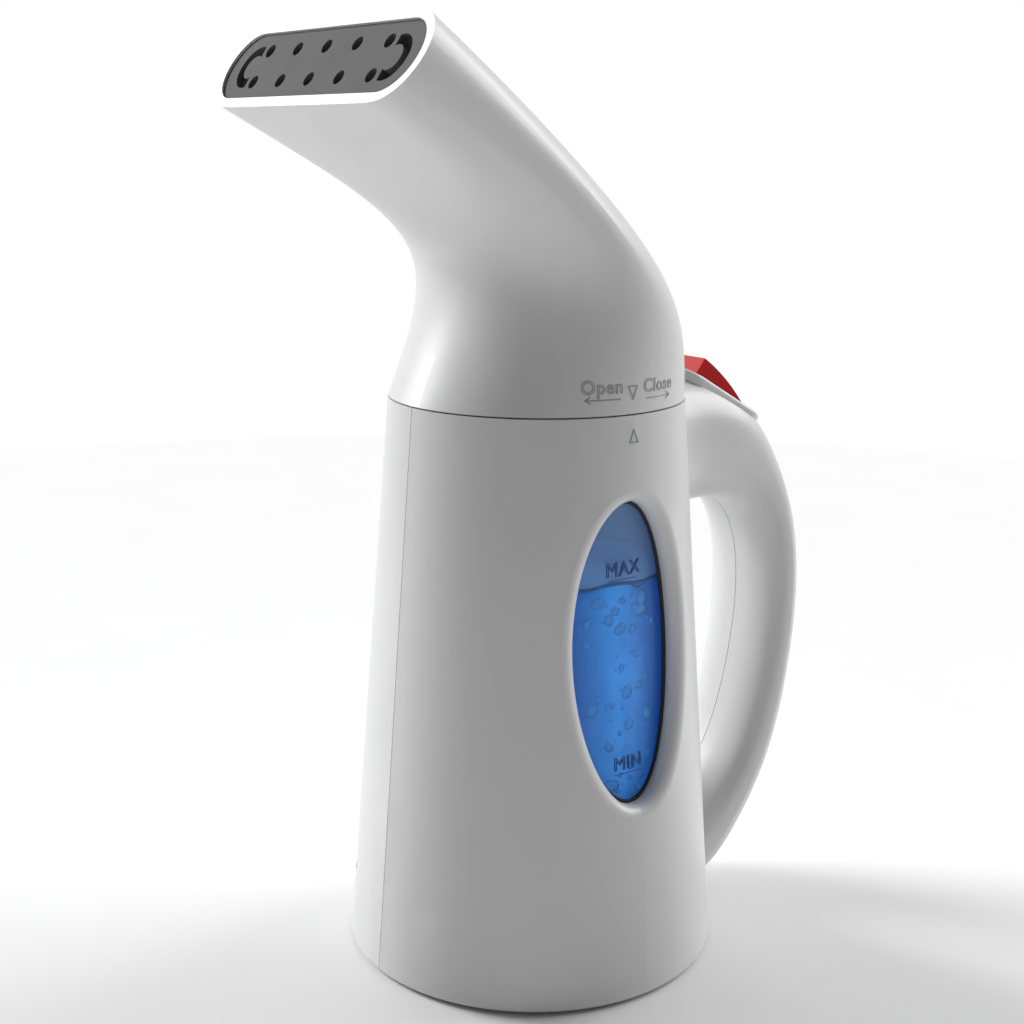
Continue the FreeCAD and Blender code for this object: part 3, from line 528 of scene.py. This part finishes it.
def strip_mesh(lines, thick):
    """Raised strokes along straight lines, narrower at the top and cut short enough to bend."""
    points = []
    faces = []
    for (x0, y0), (x1, y1) in lines:
        along = Vector((x1 - x0, y1 - y0, 0))
        aside = along.normalized().cross(Vector((0, 0, 1))) * thick
        ahead = along.normalized() * thick
        count = max(2, int(along.length / STROKE_STEP))
        lift = Vector((0, 0, thick))
        section = (aside * -1, aside * -0.5 + lift, aside * 0.5 + lift, aside)
        first = len(points)
        for step in range(count + 1):
            place = Vector((x0, y0, 0)) - ahead + (along + 2 * ahead) * step / count
            points += [tuple(place + corner) for corner in section]
        for step in range(count):
            for corner in range(4):
                here = first + 4 * step + corner
                beside = first + 4 * step + (corner + 1) % 4
                faces.append((here, beside, beside + 4, here + 4))
        faces.append(tuple(first + corner for corner in range(4)))
        faces.append(tuple(first + 4 * count + corner for corner in (3, 2, 1, 0)))
    return points, faces


def wrapped(name, flat, degrees, z, node_name, look, body):
    """Lays a flat drawing onto the outside of a node, centred at an angle and a height."""
    points, faces = flat
    tree = SURFACES[node_name]
    guess = math.hypot(*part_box(node_name)[1][:2])
    centre = math.radians(degrees)
    out = Vector((math.cos(centre), math.sin(centre), 0))
    near = tree.ray_cast(Vector((0, 0, z)) + out * guess, -out)[0]
    radius = math.hypot(near.x, near.y)
    laid = []
    for x, y, rise in points:
        angle = centre + x / radius
        out = Vector((math.cos(angle), math.sin(angle), 0))
        spot = tree.ray_cast(Vector((0, 0, z + y)) + out * guess, -out)[0]
        laid.append(tuple(spot + out * rise))
    piece(name, laid, faces, look, body, smooth=False)


def arrow_lines(direction):
    """A level shaft with two barbs, pointing along +x for 1 and -x for -1."""
    half = ARROW_LENGTH / 2
    tip = direction * half
    back = tip - direction * BARB_LENGTH
    return [((-half, 0), (half, 0)), ((tip, 0), (back, BARB_RISE)), ((tip, 0), (back, -BARB_RISE))]


def pointer_lines(direction):
    """A triangle that points up for 1 and down for -1."""
    half = POINTER_SIZE / 2
    corners = [(-half * 0.8, -direction * half), (half * 0.8, -direction * half), (0, direction * half)]
    return list(zip(corners, corners[1:] + corners[:1]))


def head_mark(name, drawing, degrees, z):
    # The raised marks are coloured grey as painted shade
    wrapped(name, drawing, degrees, z, "spout_shell", RELIEF_PAINTED_SHADE, "head")


def tank_mark(name, drawing, degrees, z):
    wrapped(name, drawing, degrees, z, "water_tank", INK_AND_PAINTED_SHADE, "body")


def marks():
    head_mark("mark_open", outline_mesh("Open", WORD_HEIGHT, FINE_STROKE), *OPEN_AT)
    head_mark("mark_close", outline_mesh("Close", WORD_HEIGHT, FINE_STROKE), *CLOSE_AT)
    for name, (degrees, z), direction in (("arrow_open", OPEN_AT, -1), ("arrow_close", CLOSE_AT, 1)):
        head_mark(name, strip_mesh(arrow_lines(direction), BOLD_STROKE), degrees, z - ARROW_DROP)
    head_mark("pointer_head", strip_mesh(pointer_lines(-1), BOLD_STROKE), 0, HEAD_POINTER_Z)
    # The body's raised pointer is grey painted shade too
    wrapped("pointer_body", strip_mesh(pointer_lines(1), BOLD_STROKE), 0, BODY_POINTER_Z, "shell_right",
            RELIEF_PAINTED_SHADE, "body")
    for side, degrees in (("right", 0), ("left", 180)):
        for words, z in (("MAX", MAX_Z), ("MIN", MIN_Z)):
            drawing = outline_mesh(words, LEVEL_HEIGHT, BOLD_STROKE)
            tank_mark("level_" + words.lower() + "_" + side, drawing, degrees, z)
        for words, z in (("max", MAX_Z), ("min", MIN_Z)):
            drawing = strip_mesh([((-LEVEL_LINE_HALF, 0), (LEVEL_LINE_HALF, 0))], FINE_STROKE)
            tank_mark("line_" + words + "_" + side, drawing, degrees, z - LEVEL_LINE_DROP)


# Studio

def soft_sun(name, toward, power, spread):
    """Even light from one side, as soft as a large lamp."""
    data = bpy.data.lights.new(name, "SUN")
    data.energy = power
    data.angle = math.radians(spread)
    obj = bpy.data.objects.new(name, data)
    obj.rotation_euler = Vector(toward).to_track_quat("Z", "Y").to_euler()
    bpy.context.scene.collection.objects.link(obj)


def floor():
    """A round white table top under the steamer."""
    mesh = bpy.data.meshes.new("floor")
    sides = 180
    rim = []
    for step in range(sides):
        angle = 2 * math.pi * step / sides
        rim.append((FLOOR_RADIUS * math.cos(angle), FLOOR_RADIUS * math.sin(angle), 0))
    mesh.from_pydata(rim, [], [tuple(range(sides))])
    obj = bpy.data.objects.new("floor", mesh)
    bpy.context.scene.collection.objects.link(obj)
    obj.data.materials.append(plastic("floor_look", (0.9, 0.9, 0.9), 0.4, grain=200.0, depth=0.00002,
                                      strength=0.1))


def camera():
    """Stands off the front right of the steamer and looks a little down on it."""
    data = bpy.data.cameras.new("camera")
    data.lens = CAMERA_LENS
    data.sensor_width = 36
    data.clip_start = 0.01
    obj = bpy.data.objects.new("camera", data)
    azimuth = math.radians(CAMERA_AZIMUTH)
    pitch = math.radians(CAMERA_PITCH)
    level = math.cos(pitch)
    forward = Vector((-math.sin(azimuth) * level, math.cos(azimuth) * level, -math.sin(pitch)))
    turn = forward.to_track_quat("-Z", "Y").to_matrix().to_4x4()
    roll = Matrix.Rotation(math.radians(CAMERA_ROLL), 4, "Z")
    obj.matrix_world = Matrix.Translation(CAMERA_AT) @ turn @ roll
    bpy.context.scene.collection.objects.link(obj)
    bpy.context.scene.camera = obj


def world():
    """A room that looks white, but lights the steamer less from the camera's side than from behind."""
    made = bpy.data.worlds.new("world")
    made.use_nodes = True
    tree = made.node_tree
    back = tree.nodes["Background"]
    back.inputs["Color"].default_value = (1, 1, 1, 1)
    place = node(tree, "ShaderNodeTexCoord")
    toward = node(tree, "ShaderNodeVectorMath", operation="DOT_PRODUCT")
    toward.inputs[1].default_value = Vector(DIM_SIDE).normalized()
    tree.links.new(place.outputs["Generated"], toward.inputs[0])
    level = node(tree, "ShaderNodeMapRange")
    level.inputs["From Min"].default_value = DIM_FROM_COSINE
    level.inputs["From Max"].default_value = DIM_TO_COSINE
    level.inputs["To Min"].default_value = ROOM_BRIGHT
    level.inputs["To Max"].default_value = ROOM_DIM
    tree.links.new(toward.outputs["Value"], level.inputs["Value"])
    path = node(tree, "ShaderNodeLightPath")
    seen = node(tree, "ShaderNodeMath", operation="MAXIMUM")
    tree.links.new(level.outputs["Result"], seen.inputs[0])
    tree.links.new(path.outputs["Is Camera Ray"], seen.inputs[1])
    tree.links.new(seen.outputs["Value"], back.inputs["Strength"])
    bpy.context.scene.world = made
    bpy.context.scene.view_settings.view_transform = "Standard"


camera()
world()
floor()
dress_nodes()
water()
water_edge()
painted_light_sheet()
bubbles()
# Rings of painted shade round both window panes
window_shade_ring("window_shade_ring_right", 1)
window_shade_ring("window_shade_ring_left", -1)
marks()
for name, toward, power, spread in SUNS:
    soft_sun(name, toward, power, spread)
